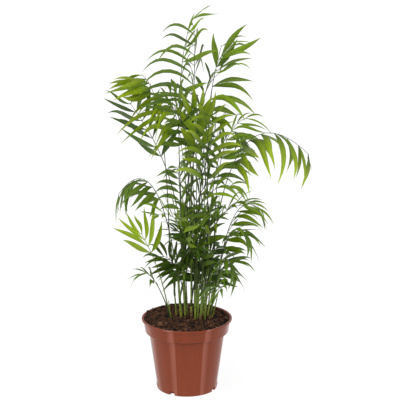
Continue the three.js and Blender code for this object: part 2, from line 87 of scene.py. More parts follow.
def spun(v, axis, turn):
    # v cos t + (axis x v) sin t + axis (axis . v)(1 - cos t)
    return v * np.cos(turn) + np.cross(axis, v) * np.sin(turn) + axis * dot(axis, v) * (1 - np.cos(turn))


def vectors(x, y, z):
    # places from three arrays of numbers, each spread to their common shape
    return np.stack(np.broadcast_arrays(x, y, z), -1)


def evenTurns(count):
    return np.arange(count) * 2 * math.pi / count


def closedTubes(rings, starts, ends):
    # rings (n, rows, sides) run counter-clockwise round each body's run; each end closes in a point
    n, rows, sides = rings.shape[:3]
    stride = rows * sides + 2
    points = np.concatenate([rings.reshape(n, -1, 3), starts[:, None], ends[:, None]], axis=1)
    j, last = np.arange(sides), (rows - 1) * sides
    k, row = (j + 1) % sides, np.arange(rows - 1)[:, None] * sides
    quad = np.stack([row + j, row + k, row + sides + k, row + sides + j], -1)
    foot = vectors(rows * sides, k, j)
    tip = vectors(last + j, last + k, rows * sides + 1)
    base = (np.arange(n) * stride)[:, None, None]
    quads = (base + quad.reshape(1, -1, 4)).reshape(-1, 4)
    triangles = (base + np.concatenate([foot, tip])[None]).reshape(-1, 3)
    return points.reshape(-1, 3), quads, triangles


def tubeRings(middles, radii, across, sides):
    # middle + radius (X cos a + Y sin a), with X square to the run and nearest to across, Y = run x X
    run = unit(np.gradient(middles, axis=1))
    x = unit(across[:, None] - run * dot(run, across[:, None]))
    y = np.cross(run, x)
    a = evenTurns(sides)
    around = x[:, :, None] * np.cos(a)[:, None] + y[:, :, None] * np.sin(a)[:, None]
    return middles[:, :, None] + around * radii[:, :, None, None]


def standObject(name, data):
    made = bpy.data.objects.new(name, data)
    bpy.context.scene.collection.objects.link(made)
    return made


def makePiece(name, points, quads, triangles, crease, uv=None, shades=None):
    # one mesh; uv and shades give each point its place on the surface and its body's random number
    corners = np.concatenate([quads.ravel(), triangles.ravel()]).astype(np.int32)
    sizes = np.concatenate([np.full(len(quads), 4), np.full(len(triangles), 3)])
    mesh = bpy.data.meshes.new(name)
    mesh.vertices.add(len(points))
    mesh.vertices.foreach_set("co", (points * mm).astype(np.float32).ravel())
    mesh.loops.add(len(corners))
    mesh.loops.foreach_set("vertex_index", corners)
    mesh.polygons.add(len(sizes))
    mesh.polygons.foreach_set("loop_start", (np.cumsum(sizes) - sizes).astype(np.int32))
    mesh.update(calc_edges=True)
    mesh.polygons.foreach_set("use_smooth", np.ones(len(sizes), bool))
    mesh.set_sharp_from_angle(angle=math.radians(crease))
    if uv is not None:
        layer = mesh.uv_layers.new(name="surface")
        layer.data.foreach_set("uv", uv[corners].astype(np.float32).ravel())
    if shades is not None:
        shade = mesh.attributes.new("shade", "FLOAT", "POINT")
        shade.data.foreach_set("value", shades.astype(np.float32))
    return standObject(name, mesh)


def makeTubes(name, rings, starts, ends, crease, shades=None):
    return makePiece(name, *closedTubes(rings, starts, ends), crease=crease, shades=shades)


def finishPiece(piece, material, nodes=()):
    piece.data.materials.clear()
    piece.data.materials.append(material)
    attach(piece, "root")
    if nodes:
        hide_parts(*nodes)
    print(piece.name, len(piece.data.polygons), "faces")


def newMaterial(name, skin):
    material = bpy.data.materials.new(name)
    material.use_nodes = True
    nodes = material.node_tree.nodes
    nodes.clear()
    output = nodes.new("ShaderNodeOutputMaterial")
    surface = nodes.new("ShaderNodeBsdfPrincipled")
    surface.inputs["Roughness"].default_value = skin["roughness"]
    surface.inputs["Specular IOR Level"].default_value = skin["specular"]
    material.node_tree.links.new(surface.outputs[0], output.inputs["Surface"])
    return material, surface


def node(kind, inputs, tree=None, **settings):
    # a node of one kind, in the tree of what feeds it; an input is a value or another node's output
    fed = {key: value for key, value in inputs.items() if isinstance(value, bpy.types.NodeSocket)}
    tree = tree or list(fed.values())[0].id_data
    made = tree.nodes.new("ShaderNode" + kind)
    for key, value in settings.items():
        setattr(made, key, value)
    for key, value in inputs.items():
        if key in fed:
            tree.links.new(value, made.inputs[key])
        else:
            made.inputs[key].default_value = value
    return made


def link(value, socket):
    value.id_data.links.new(value, socket)


def linear(colour):
    # three numbers from 0 to 255 become linear light, ((c + 0.055) / 1.055)^2.4 above 0.04045; a colour
    # of four is linear already, and another node's stays what it is
    if isinstance(colour, bpy.types.NodeSocket) or len(colour) == 4:
        return colour
    c = np.array(colour) / 255
    return (*np.where(c <= 0.04045, c / 12.92, ((c + 0.055) / 1.055) ** 2.4).tolist(), 1.0)


def objectPlace(surface):
    return node("TexCoord", {}, surface.id_data).outputs["Object"]


def pieceShade(surface):
    # the random number that makePiece has stored on each separate body
    return node("Attribute", {}, surface.id_data, attribute_name="shade").outputs["Fac"]


def maths(operation, first, second=0.0):
    return node("Math", {0: first, 1: second}, operation=operation).outputs[0]


def axes(vector):
    return node("SeparateXYZ", {"Vector": vector}).outputs


def scaled(vector, scale):
    return node("Mapping", {"Vector": vector, "Scale": scale}).outputs[0]


def noise(place, scale, detail, roughness):
    inputs = {"Vector": place, "Scale": scale, "Detail": detail, "Roughness": roughness}
    return node("TexNoise", inputs).outputs["Fac"]


def dots(place, scale):
    # the distance to the nearest of many scattered points
    return node("TexVoronoi", {"Vector": place, "Scale": scale}).outputs["Distance"]


def ramp(value, low, high, start=0.0, end=1.0):
    # how far value is from low to high, as start to end, held at both
    inputs = {"Value": value, "From Min": low, "From Max": high, "To Min": start, "To Max": end}
    return node("MapRange", inputs).outputs["Result"]


def blend(share, first, second, kind="MIX"):
    inputs = {0: share, 6: linear(first), 7: linear(second)}
    return node("Mix", inputs, data_type="RGBA", blend_type=kind).outputs[2]


def layer(colour, other, value, low, high, most=1.0):
    # another colour over the first, from none where value is low to most of it where it is high
    return blend(ramp(value, low, high, 0.0, most), colour, other)


def tinted(colour, share, dim, lit):
    # the colour times a tint that runs from dim to lit
    return blend(1.0, colour, blend(share, (*dim, 1), (*lit, 1)), "MULTIPLY")


def cover(surface, colour, height, strength, distance):
    # the colour and a bump of this height go to the surface
    bump = node("Bump", {"Height": height, "Strength": strength, "Distance": distance})
    link(colour, surface.inputs["Base Color"])
    link(bump.outputs["Normal"], surface.inputs["Normal"])


pot = dict(
    rimRadius=60, height=97, lip=2.4, collarTopRadius=57.6, collarFootRadius=55.4, collarFoot=79,
    bodyTopRadius=51.4, bodyFootRadius=40.4, footBand=5, wall=1.9, floor=6.2,
    flutes=4, fluteTurn=4, fluteSpan=42, fluteDepth=0.9, fluteEdge=[-0.5, 0.9], rimWall=0.8,
    notchTurn=-29, notch=[14, 8, 11], notchRound=1.0,
    sides=360, cornerSteps=4,
    # the third colour below is a painted reflection: the strip lamps' shine, as pale bands on the ribs
    base=(128, 56, 30), worn=(140, 68, 42), shoulder=(152, 86, 68), speck=(214, 170, 150),
    roughness=0.16, roughnessSpan=[0.12, 0.2], specular=0.2,
    streaks=120, clouds=14, specks=420, grain=700,  # how many to a metre
    # the span below places the painted reflection bands, in degrees past the panel's border
    shoulderSpan=[0.4, 8],  # degrees past the panel's border
    dust=[0.075, 0.0, 0.0, 0.75],  # heights in metres where it begins and is full, and its two shares
)


def bodyRadius(height):
    # straight from the foot's radius to the radius under the collar
    return mix(pot["bodyFootRadius"], pot["bodyTopRadius"], height / pot["collarFoot"])


def roundedLine(corners, steps):
    # each corner (radius, height, flute share, rounding) becomes (1-t)^2 A + 2 t (1-t) C + t^2 B,
    # with A and B one rounding before and after it on its two edges
    corners = np.array(corners, float)
    line = [corners[0, :3]]
    t = np.linspace(0, 1, steps + 1)[:, None]
    for before, corner, after in zip(corners, corners[1:], corners[2:]):
        ways = [(end - corner)[:3] / np.linalg.norm((end - corner)[:2]) for end in (before, after)]
        a, b = [corner[:3] + way * corner[3] for way in ways]
        line.extend((1 - t) ** 2 * a + 2 * t * (1 - t) * corner[:3] + t * t * b)
    line.append(corners[-1, :3])
    return np.array(line)


def fluteShare(degrees):
    # 1 inside each panel and 0 between them, with a smooth edge of a few degrees
    pitch = 360 / pot["flutes"]
    turned = np.mod(degrees - pot["fluteTurn"] + pitch / 2, pitch)
    inside = pot["fluteSpan"] / 2 - np.abs(turned - pitch / 2)
    return smooth(*pot["fluteEdge"], inside)


def makePot():
    # the outline (r, h) turned round the axis: (r sin a, -r cos a, h), with r less in the panels
    p = pot
    top = p["height"]
    line = roundedLine([  # radius, height, share of the panels' depth, rounding
        (p["bodyFootRadius"] - 3, 0, 0, 0),
        (p["bodyFootRadius"] - 0.1, 0, 0, 0.8),
        (bodyRadius(p["footBand"]), p["footBand"], 0, 0.5),
        (bodyRadius(p["footBand"] + 1.2), p["footBand"] + 1.2, 1, 0.5),
        (p["bodyTopRadius"], p["collarFoot"], 1, 0.5),
        (p["collarFootRadius"], p["collarFoot"], 0, 1.0),
        (p["collarTopRadius"], top - p["lip"] - 0.4, 0, 0.5),
        (p["rimRadius"], top - p["lip"] - 0.1, 0, 0.9),
        (p["rimRadius"], top, 0, 1.0),
        (p["collarTopRadius"] - p["rimWall"], top - 0.4, 0, 0.7),
        (p["collarFootRadius"] - p["wall"], p["collarFoot"] + 1, 0, 1.0),
        (p["bodyTopRadius"] - p["wall"], p["collarFoot"] - 2, 0, 1.0),
        (bodyRadius(p["floor"]) - p["wall"], p["floor"], 0, 0.8),
        (20, p["floor"], 0, 0),
    ], p["cornerSteps"])
    turn = evenTurns(p["sides"])
    reach = line[:, :1] - line[:, 2:3] * p["fluteDepth"] * fluteShare(np.degrees(turn))[None]
    rings = vectors(reach * np.sin(turn), -reach * np.cos(turn), line[:, 1:2])[None]
    ends = np.array([[0.0, 0.0, 0.0], [0.0, 0.0, p["floor"]]])
    shell = makeTubes("potShell", rings, ends[:1], ends[1:], 50)
    return cutNotches(shell)


def cutNotches(shell):
    # a box with rounded upper corners, turned to each drain place, is taken out of the foot
    length, width, tall = pot["notch"]
    r, half = pot["notchRound"], width / 2
    a = np.linspace(0, math.pi / 2, 5)
    right = np.stack([half - r + r * np.cos(a), tall / 2 - r + r * np.sin(a)], -1)
    left = right[::-1] * [-1, 1]
    outline = np.concatenate([[[half, -tall / 2]], right, left, [[-half, -tall / 2]]])
    x = np.array([-length / 2, length / 2]) + pot["bodyFootRadius"]
    box = vectors(x[:, None], outline[:, 0], outline[:, 1])
    turns = np.radians(pot["notchTurn"] + np.arange(pot["flutes"]) * 360 / pot["flutes"] - 90)
    rings = spun(np.repeat(box[None], len(turns), axis=0), upward, turns[:, None, None, None])
    cutter = makeTubes("notchCutter", rings, rings[:, 0].mean(1), rings[:, 1].mean(1), 40)
    cut = shell.modifiers.new("notches", "BOOLEAN")
    cut.operation, cut.solver, cut.object = "DIFFERENCE", "MANIFOLD", cutter
    graph = bpy.context.evaluated_depsgraph_get()
    shell.data = bpy.data.meshes.new_from_object(shell.evaluated_get(graph))
    shell.data.name = shell.name
    shell.modifiers.clear()
    shell.data.set_sharp_from_angle(angle=math.radians(40))
    bpy.data.objects.remove(cutter)
    return shell


def potPlastic():
    # moulded brown plastic: upright flow streaks, pale specks, dusty foot; on the ribs, where the turn
    # folded at each panel's middle is between two angles, the strip lamps' reflections are painted paler
    material, surface = newMaterial("potPlastic", pot)
    place = objectPlace(surface)
    x, y, height = axes(place)
    streaks = noise(scaled(place, (1, 1, 0.12)), pot["streaks"], 4, 0.6)
    cloud = noise(place, pot["clouds"], 3, 0.6)
    dusty = maths("MULTIPLY", ramp(height, *pot["dust"]), cloud)
    colour = blend(dusty, pot["base"], pot["worn"])
    # painted reflection: paler bands just outside each panel's edge stand for the strip lamps' shine
    turn = maths("ADD", maths("ARCTAN2", x, maths("MULTIPLY", y, -1.0)), -math.radians(pot["fluteTurn"]))
    away = maths("PINGPONG", turn, math.pi / pot["flutes"])
    inner, outer = [math.radians(pot["fluteSpan"] / 2 + past) for past in pot["shoulderSpan"]]
    begins, ends = ramp(away, inner - 0.012, inner + 0.012), ramp(away, outer + 0.06, outer - 0.06)
    colour = blend(maths("MULTIPLY", begins, ends), colour, pot["shoulder"])
    colour = tinted(colour, ramp(streaks, 0.3, 0.7), (0.93, 0.93, 0.93), (1.05, 1.04, 1.03))
    colour = layer(colour, pot["speck"], dots(place, pot["specks"]), 0.09, 0.05, 0.35)
    link(ramp(cloud, 0.3, 0.7, *pot["roughnessSpan"]), surface.inputs["Roughness"])
    cover(surface, colour, maths("ADD", noise(place, pot["grain"], 2, 0.5), streaks), 0.05, 0.0004)
    return material


potShell = makePot()
finishPiece(potShell, potPlastic(), ["pot"])


soil = dict(
    edge=94.2, crown=3.0, lump=1.2, reach=54, socket=6,
    sides=96, rows=34, relief=1.1,
    sunk=0.8,  # how far the surface lies under the part's, for the crumbs on it
    heap=[1.6, 0.7, 0.9], heapRing=[42, 55],  # height, more to the left and the back; where it rises
    crumbs=2600, crumbSize=[0.8, 4.8], crumbReach=55.8,
    fibres=900, fibreLength=[4, 17], fibreRadius=0.3,
    dark=(32, 16, 9), brown=(86, 52, 34), light=(150, 106, 74),
    patches=160, flecks=900, grain=1400,  # how many to a metre
    roughness=0.92, specular=0.25,
)


def soilHeight(x, y):
    # edge + crown (1 - o^2) + lumps (1 - o / 2) + a heap along the rim, with o the share of the reach
    out = np.minimum(1, np.hypot(x, y) / soil["reach"])
    lumps = np.sin(x * 0.31 + 1.2) * np.cos(y * 0.27) + 0.6 * np.sin(x * 0.13 - y * 0.22)
    heap, toLeft, toBack = soil["heap"]
    heap = heap * (1 - toLeft * x / soil["reach"]) * (1 + toBack * y / soil["reach"])
    heap = heap * smooth(*soil["heapRing"], np.hypot(x, y))
    return soil["edge"] + soil["crown"] * (1 - out * out) + soil["lump"] * lumps * (1 - out * 0.5) + heap


def soilRelief(x, y):
    # two crossing patterns of sine waves, a few millimetres wide, for clods between the crumbs
    wave = np.sin(x * 1.1 + 2 * np.sin(y * 0.7)) * np.sin(y * 1.3 + 1.5 * np.sin(x * 0.9))
    return soil["relief"] * (wave + 0.5 * np.sin(x * 2.9 + y * 1.7) * np.sin(y * 3.1 - x * 1.2))


def makeSoil():
    # a round body: its foot, its side up the pot's wall, then the surface on a polar grid to the middle
    inset = pot["wall"] + 0.12
    turn = evenTurns(soil["sides"])
    top = pot["collarTopRadius"] - pot["rimWall"] - 0.4
    heights = [pot["floor"] + 0.3, pot["collarFoot"] - 4, pot["collarFoot"] + 5]
    radii = [bodyRadius(heights[0]) - inset, bodyRadius(heights[1]) - inset, top - 0.6]
    inward = np.linspace(1, 0.02, soil["rows"]) * top
    radius = np.concatenate([radii, inward])[:, None]
    x, y = radius * np.cos(turn), radius * np.sin(turn)
    edge = smooth(top, top - 5, np.hypot(x, y))
    height = soilHeight(x, y) + soilRelief(x, y) * edge - soil["sunk"]
    height[:len(heights)] = np.array(heights)[:, None]
    rings = vectors(x, y, height)[None]
    ends = np.array([[0, 0, heights[0]], [0, 0, soilHeight(0, 0) - 0.5]], float)
    return makeTubes("soilBody", rings, ends[:1], ends[1:], 180)


def scattered(random, count, reach):
    # evenly over a disc: reach sqrt(random) away, at any angle
    radius = reach * np.sqrt(random.random(count))
    angle = random.random(count) * 2 * math.pi
    return radius * np.cos(angle), radius * np.sin(angle)


def makeCrumbs():
    # lumpy flattened balls: r(latitude, longitude) = 1 + 0.36 random, scattered evenly over the disc
    random = np.random.default_rng(5)
    n, rows, sides = soil["crumbs"], 4, 6
    x, y = scattered(random, n, soil["crumbReach"])
    size = mix(*soil["crumbSize"], random.random(n) ** 2.6) / 2
    lift = size * random.uniform(-0.2, 0.7, n) + random.random(n) ** 6 * 2.0
    middle = vectors(x, y, soilHeight(x, y) + soilRelief(x, y) - soil["sunk"] + lift)
    latitude = np.linspace(-math.pi / 2, math.pi / 2, rows + 2)[1:-1, None]
    longitude = evenTurns(sides)
    around = np.cos(latitude)
    ball = vectors(around * np.cos(longitude), around * np.sin(longitude), np.sin(latitude))
    lumpy = ball[None] * (1 + 0.36 * random.uniform(-1, 1, (n, rows, sides, 1)))
    stretch = random.uniform(0.4, 1.5, (n, 1, 1, 3)) * [1, 1, 0.7]
    axis = unit(random.normal(size=(n, 1, 1, 3)))
    turn = random.uniform(0, 1.2, (n, 1, 1, 1))
    size, middle = size[:, None, None, None], middle[:, None, None]
    place = lambda shape: spun(shape * stretch * size, axis, turn) + middle
    poles = place(np.array([[[[0, 0, -1.0]], [[0, 0, 1.0]]]]) * np.ones((n, 1, 1, 1)))
    shades = np.repeat(random.random(n) ** 2.5, rows * sides + 2)
    return makeTubes("soilCrumbs", place(lumpy), poles[:, 0, 0], poles[:, 1, 0], 30, shades)


def makeFibres():
    # thin bent strands of coir: middle + (along (s - 1/2) + side bow (s - s^2)) length, on the ground,
    # and up by rise s^2 and a small wave
    random = np.random.default_rng(8)
    n, rows = soil["fibres"], 8
    x, y = scattered(random, n, soil["crumbReach"] - 5)
    turn = random.random(n) * 2 * math.pi
    length = mix(*soil["fibreLength"], random.random(n))[:, None, None]
    along = vectors(np.cos(turn), np.sin(turn), 0)[:, None]
    side = vectors(-np.sin(turn), np.cos(turn), 0)[:, None]
    s = np.linspace(0, 1, rows)[None, :, None]
    bow = random.uniform(-1, 1, (n, 1, 1)) * 1.4
    rise = random.uniform(-0.1, 0.22, (n, 1, 1)) * length
    path = vectors(x, y, 0)[:, None] + along * (s - 0.5) * length + side * bow * (s - s * s) * length
    held = np.minimum(1, soil["crumbReach"] / np.maximum(1, np.hypot(path[..., 0], path[..., 1])))
    path[..., :2] *= held[..., None]
    ground = soilHeight(path[..., 0], path[..., 1]) + 0.5
    path[..., 2] = ground + (rise * s * s)[..., 0] + 0.5 * np.sin(s[..., 0] * 6 + turn[:, None])
    thin = soil["fibreRadius"] * (1 - 0.7 * s[..., 0] ** 2) * random.uniform(0.6, 1.5, (n, 1))
    rings = tubeRings(path, thin, side[:, 0], 3)
    shades = np.repeat(random.random(n), rows * 3 + 2)
    return makeTubes("soilFibres", rings, path[:, 0], path[:, -1], 180, shades)


def soilEarth(name, dark, light, perCrumb):
    # peaty earth: two browns by patch and by crumb, with fine pale flecks
    material, surface = newMaterial(name, soil)
    place = objectPlace(surface)
    colour = layer(dark, light, noise(place, soil["patches"], 5, 0.65), 0.35, 0.68)
    if perCrumb:
        shade = pieceShade(surface)
        colour = layer(dark, colour, shade, 0, 0.35, 0.6)
        colour = layer(colour, soil["light"], shade, 0.3, 1, 0.75)
    colour = layer(colour, soil["light"], dots(place, soil["flecks"]), 0.12, 0.05, 0.5)
    cover(surface, colour, noise(place, soil["grain"], 4, 0.7), 0.9, 0.0012)
    return material


for made, skin, dark, light, perCrumb, nodes in (
    (makeSoil, "soilEarth", "dark", "brown", False, ["soil"]),
    (makeCrumbs, "crumbEarth", "dark", "brown", True, []),
    (makeFibres, "fibreCoir", "brown", "light", True, []),
):
    finishPiece(made(), soilEarth(skin, soil[dark], soil[light], perCrumb), nodes)


# the plan of the plant, by the part's own rule and numbers
cane = dict(slim=0.62)
rib = dict(thick=1.0, thin=0.5, root=1.2)
vary = dict(length=0.1, sweep=8, lift=12, droop=0.12)
tierRule = dict(step=137.5, knee=45, roll=55, lift=16, droop=0.2)
# the part's nudges: turns in degrees that clear a rib of its neighbours
nudges = [0, 5, -5, 10, -10, 16, -16, 22, -22, 30, -30, 40, -40, 55, -55, 75, -75]
# the part's trials for a leaflet: more sweep, more lift, and a share of its length
trials = [
    [0, 0, 1], [0, 9, 1], [0, -9, 1], [7, 0, 1], [-7, 0, 1], [6, 16, 1], [-6, -16, 1], [12, 8, 0.95],
    [0, 24, 0.9], [0, -24, 0.9], [0, 0, 0.8], [9, 14, 0.8], [-9, -14, 0.8], [0, 30, 0.75],
    [0, 0, 0.62], [12, 20, 0.62], [-12, -20, 0.62], [0, 0, 0.45], [10, 20, 0.45],
]

# each cane: its foot, how far its top leans, the height of its top and its radius
canes = [dict(foot=foot, lean=lean, top=top, radius=radius) for foot, lean, top, radius in (
    ([-20, -3], [-4, -2], 122, 1.7),
    ([-13, 5], [-7, 2], 190, 2.0),
    ([-7, -6], [-4, -4], 176, 2.1),
    ([-2, 6], [-5, 2], 204, 2.1),
    ([6, -1], [0, -1], 292, 2.4),
    ([11, -9], [1, -6], 170, 2.2),
    ([15, -1], [-2, 1], 240, 2.4),
    ([17.5, -10], [3, -8], 160, 2.2),
    ([23, -8], [6, -5], 172, 2.0),
    ([29, -5], [8, -2], 150, 1.9),
    ([27, 4], [7, 5], 190, 2.1),
    ([0, 18], [-5, 12], 190, 2.1),
    ([10, 20], [1, 14], 205, 2.2),
    ([20, 15], [6, 12], 196, 2.1),
)]

frondRule = dict(stalk=0.34, pairs=8, leaf=50, fade=0.42, width=8, sweep=[64, 26], droop=0.35, lift=12,
                 roll=0, tone="mid")


def frondRow(name, cane, start, heading, reach, tip, knee, **own):
    # its cane, where its stalk starts, its heading, how far out and how high its rib ends, the knee that
    # bends it, and what it has of its own
    return dict(name=name, cane=cane, start=start, heading=heading, reach=reach, tip=tip, knee=knee, **own)


fronds = [
    frondRow("top_arch", 4, 288, 330, 3, 472, [0.5, 400], leaf=94, stalk=0.5, sweep=[56, 54], width=7,
        droop=0.54, lift=26),
    frondRow("spire", 3, 200, 0, 12, 490, [-1.3, 427], pairs=6, leaf=56, fade=0.3, stalk=0.68,
        sweep=[56, 24], width=10, lift=-34, roll=30, droop=0.14, tone="fresh"),
    frondRow("top_right", 6, 236, 352, 29, 458, [0.3, 388], pairs=6, leaf=80, stalk=0.6, sweep=[84, 14],
        width=9.5, lift=-40, droop=0.34, tone="fresh"),
    frondRow("left_fan", 1, 186, 186, 34, 420, [0.1, 402], pairs=5, leaf=73, stalk=0.875, sweep=[64, 40],
        width=14, droop=0.12, lift=-50, tone="fresh"),
    frondRow("left_high", 11, 187, 184, 66, 380, [0.06, 296], pairs=7, leaf=66, stalk=0.6, sweep=[46, 38],
        droop=0.12, roll=72, tone="deep"),
    frondRow("right_droop", 8, 168, 352, 125, 323, [0.19, 420], leaf=62, stalk=0.54, sweep=[90, 50],
        width=12, droop=0.3, lift=-34),
    frondRow("front_arcs", 4, 200, 198, 25, 390, [0.2, 355], pairs=5, leaf=84, stalk=0.76, sweep=[64, 50],
        width=10, droop=0.58, lift=-42, tone="fresh"),
    frondRow("right_small", 10, 186, 8, 42, 362, [-0.04, 354], pairs=7, leaf=58, stalk=0.58, width=6.5,
        roll=40, lift=-20, droop=0.36, tone="fresh"),
    frondRow("right_arch", 7, 155, 290, 26, 376, [0.2, 330], pairs=7, leaf=64, stalk=0.6, sweep=[50, 34],
        width=8.5, droop=0.4, lift=-6),
    frondRow("left_droop", 2, 166, 184, 74, 268, [0.32, 338], pairs=9, leaf=56, stalk=0.56,
        sweep=[84, 34], width=9, droop=0.2, lift=-34),
    frondRow("pale_fan", 0, 119, 184, 33, 214, [0.3, 172], pairs=4, leaf=56, stalk=0.7, sweep=[42, 8],
        droop=0.05, roll=80, tone="pale"),
    frondRow("left_low", 0, 112, 196, 36, 160, [0.6, 172], pairs=6, leaf=36, stalk=0.55, width=9,
        droop=0.3),
    frondRow("centre_blade", 5, 167, 278, 16, 380, [0.3, 340], pairs=4, leaf=60, stalk=0.76,
        sweep=[34, 10], width=12, lift=2, droop=0.03, tone="fresh"),
    frondRow("right_mid_high", 9, 147, 8, 54, 246, [0.35, 276], pairs=9, leaf=52, stalk=0.36, width=9.5,
        droop=0.34, lift=-30, tone="fresh"),
    frondRow("right_mid", 9, 141, 338, 46, 218, [0.42, 250], width=9.5, droop=0.34, lift=-22),
    frondRow("right_low", 9, 134, 322, 40, 176, [0.45, 208], pairs=7, leaf=44, width=9.5, lift=-12),
    frondRow("top_blade", 13, 186, 0, 18, 442, [-0.3, 424], pairs=2, leaf=58, fade=0.1, stalk=0.93,
        sweep=[14, 10], width=10, lift=0, roll=80, droop=0.03, tone="fresh"),
    frondRow("back_arch", 13, 192, 58, 92, 318, [0.3, 376], pairs=9, leaf=54, stalk=0.44, sweep=[64, 28],
        lift=-20),
]

# the fronds inside the clump; pairs of numbers run from a tier's first frond to its last
tiers = [
    dict(name="low", first=35, canes=[12, 11, 1, 5, 13, 2, 7, 9, 4, 8], start=[116, 160], side=31,
        depth=60, tip=[146, 222], knee=[0.4, 0.75], pairs=9, leaf=44, width=8, stalk=0.3,
        tones=["deep", "mid"]),
    dict(name="middle", first=80, canes=[12, 5, 11, 7, 13, 2, 10, 6, 3], start=[150, 190], side=48,
        depth=84, tip=[222, 300], knee=[0.35, 0.9], pairs=9, leaf=54, width=8.5, stalk=0.34,
        tones=["mid", "fresh"]),
    dict(name="high", first=60, canes=[12, 13, 11, 6, 4, 3, 10], start=[185, 232], side=40, depth=76,
        tip=[330, 420], knee=[0.15, 0.85], pairs=7, leaf=62, width=8.5, stalk=0.55,
        tones=["mid", "fresh"]),
]


def tierRows():
    rows = []
    for tier in tiers:
        count = len(tier["canes"])
        for i, number in enumerate(tier["canes"]):
            heading = tier["first"] + i * tierRule["step"]
            share = ((i * 3) % count) / (count - 1)
            start, tip = mix(*tier["start"], share), mix(*tier["tip"], share)
            kneeShare, kneeRise = tier["knee"]
            differ = [2 * chance(heading + kind) - 1 for kind in (1, 2, 3)]
            reach = mix(tier["side"], tier["depth"], math.sin(math.radians(heading)) ** 2)
            rows.append(frondRow(
                f"{tier['name']}_{i + 1}", number, start, heading, reach, tip,
                [kneeShare, mix(start, tip, kneeRise) + tierRule["knee"] * kneeShare],
                pairs=tier["pairs"], leaf=tier["leaf"], width=tier["width"], stalk=tier["stalk"],
                roll=tierRule["roll"] * differ[0], lift=frondRule["lift"] + tierRule["lift"] * differ[1],
                droop=frondRule["droop"] + tierRule["droop"] * differ[2],
                tone=tier["tones"][i % len(tier["tones"])],
            ))
    return rows


def caneFoot(row):
    return soilHeight(*row["foot"]) - soil["socket"]


def caneShareAt(row, height):
    return (height - caneFoot(row)) / (row["top"] - caneFoot(row))


def caneMiddle(row, share):
    # foot + lean s (1.4 - 0.4 s), straight up from the foot to the top
    s = np.asarray(share, float)
    ease = s * (1.4 - 0.4 * s)
    x, y = [foot + lean * ease for foot, lean in zip(row["foot"], row["lean"])]
    return vectors(x, y, mix(caneFoot(row), row["top"], s))


def caneRadius(row, share):
    return row["radius"] * mix(1, cane["slim"], share)


def bend(line, t):
    # (1-t)^2 start + 2 t (1-t) knee + t^2 tip, the three rows of line
    t = np.asarray(t, float)[..., None]
    return (1 - t) ** 2 * line[0] + 2 * t * (1 - t) * line[1] + t * t * line[2]


def bendPlace(line, share):
    # t at a share of the curve's length, from 200 straight steps
    steps = np.linspace(0, 1, 201)
    length = np.concatenate([[0], np.cumsum(np.linalg.norm(np.diff(bend(line, steps), axis=0), axis=1))])
    return np.interp(np.asarray(share, float) * length[-1], length, steps), length[-1]


def frondFrame(frond, share):
    # along the rib; across the blade, level before its roll; and out = along x across
    t, _ = bendPlace(frond["line"], share)
    before, after = np.maximum(0, t - 1e-4), np.minimum(1, t + 1e-4)
    along = unit(bend(frond["line"], after) - bend(frond["line"], before))
    level = np.array([-math.sin(frond["turn"]), math.cos(frond["turn"]), 0.0])
    across = unit(level - along * dot(along, level))
    across = spun(across, along, math.radians(frond["roll"]))
    return bend(frond["line"], t), along, across, unit(np.cross(along, across))


def nearest(point, cloud):
    return np.sqrt(np.min(np.sum((cloud - point) ** 2, axis=1)))


def nodePoints(name):
    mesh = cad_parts[name].data
    points = np.empty(len(mesh.vertices) * 3, np.float32)
    mesh.vertices.foreach_get("co", points)
    return points.reshape(-1, 3).astype(float) / mm


def standFrond(row, index):
    # the frond with its rib turned as its node's rib is: the nudge whose rib ends nearest to the node
    frond = {**frondRule, **row, "seed": index * 17}
    holder = canes[frond["cane"]]
    frond["start"] = min(frond["start"], holder["top"] - 3)
    frond["cloud"] = nodePoints("frond_" + frond["name"])
    share = caneShareAt(holder, frond["start"])
    best = None
    for nudge in nudges:
        turn = math.radians(frond["heading"] + nudge)
        out = np.array([math.cos(turn), math.sin(turn), 0.0])
        stand = caneRadius(holder, share) + rib["thick"] + gap * 1.5
        start = caneMiddle(holder, share) + out * stand
        knee, tip = start + out * frond["knee"][0] * frond["reach"], start + out * frond["reach"]
        knee[2], tip[2] = frond["knee"][1], frond["tip"]
        trial = dict(turn=turn, out=out, stand=stand, share=share, line=np.array([start, knee, tip]))
        middle, _, _, normal = frondFrame({**frond, **trial}, 1.0)
        off = nearest(middle - normal * rib["thin"], frond["cloud"])
        if best is None or off < best[0]:
            best = (off, trial)
    if best[0] > reached["rib"]:
        print("frond", frond["name"], "is off its node by", round(best[0], 2), "mm")
    return {**frond, **best[1]}


def standLeaves(frond):
    # each leaflet by the part's rule, with the trial whose tip is on the node; none where it has none
    found = []
    _, length = bendPlace(frond["line"], 1.0)
    half = rib["root"] / length
    for pair in range(frond["pairs"]):
        p = pair / (frond["pairs"] - 1)
        share = mix(frond["stalk"] + half, 1 - half, p)
        share = (share - half + min(1.0, share + half)) / 2
        middle, along, across, out = frondFrame(frond, share)
        for side in (-1, 1):
            seed = frond["seed"] + p * 7 + side
            differ = lambda kind, spread: spread * (2 * chance(seed + kind * 31) - 1)
            full = frond["leaf"] * (1 - frond["fade"] * p * p) * (0.78 + 0.22 * min(1, p * 4))
            root = middle + across * side * rib["thin"]
            for swing, lifted, part in trials:
                long = full * part * (1 + differ(1, vary["length"]))
                sweep = math.radians(mix(*frond["sweep"], p) + swing + differ(2, vary["sweep"]))
                lift = math.radians(frond["lift"] + lifted + differ(3, vary["lift"]))
                droop = frond["droop"] + differ(4, vary["droop"])
                flat = along * math.cos(sweep) + across * side * math.sin(sweep)
                aim = flat * math.cos(lift) + out * math.sin(lift)
                tip = root + aim * long - upward * droop * long
                if nearest(tip, frond["cloud"]) < reached["tip"]:
                    found.append(dict(
                        root=root, aim=aim, ahead=np.cross(flat, out) * side, side=side, length=long,
                        width=frond["width"] * (1 - frond["fade"] * p / 1.2), droop=droop, seed=seed,
                    ))
                    break
    return found


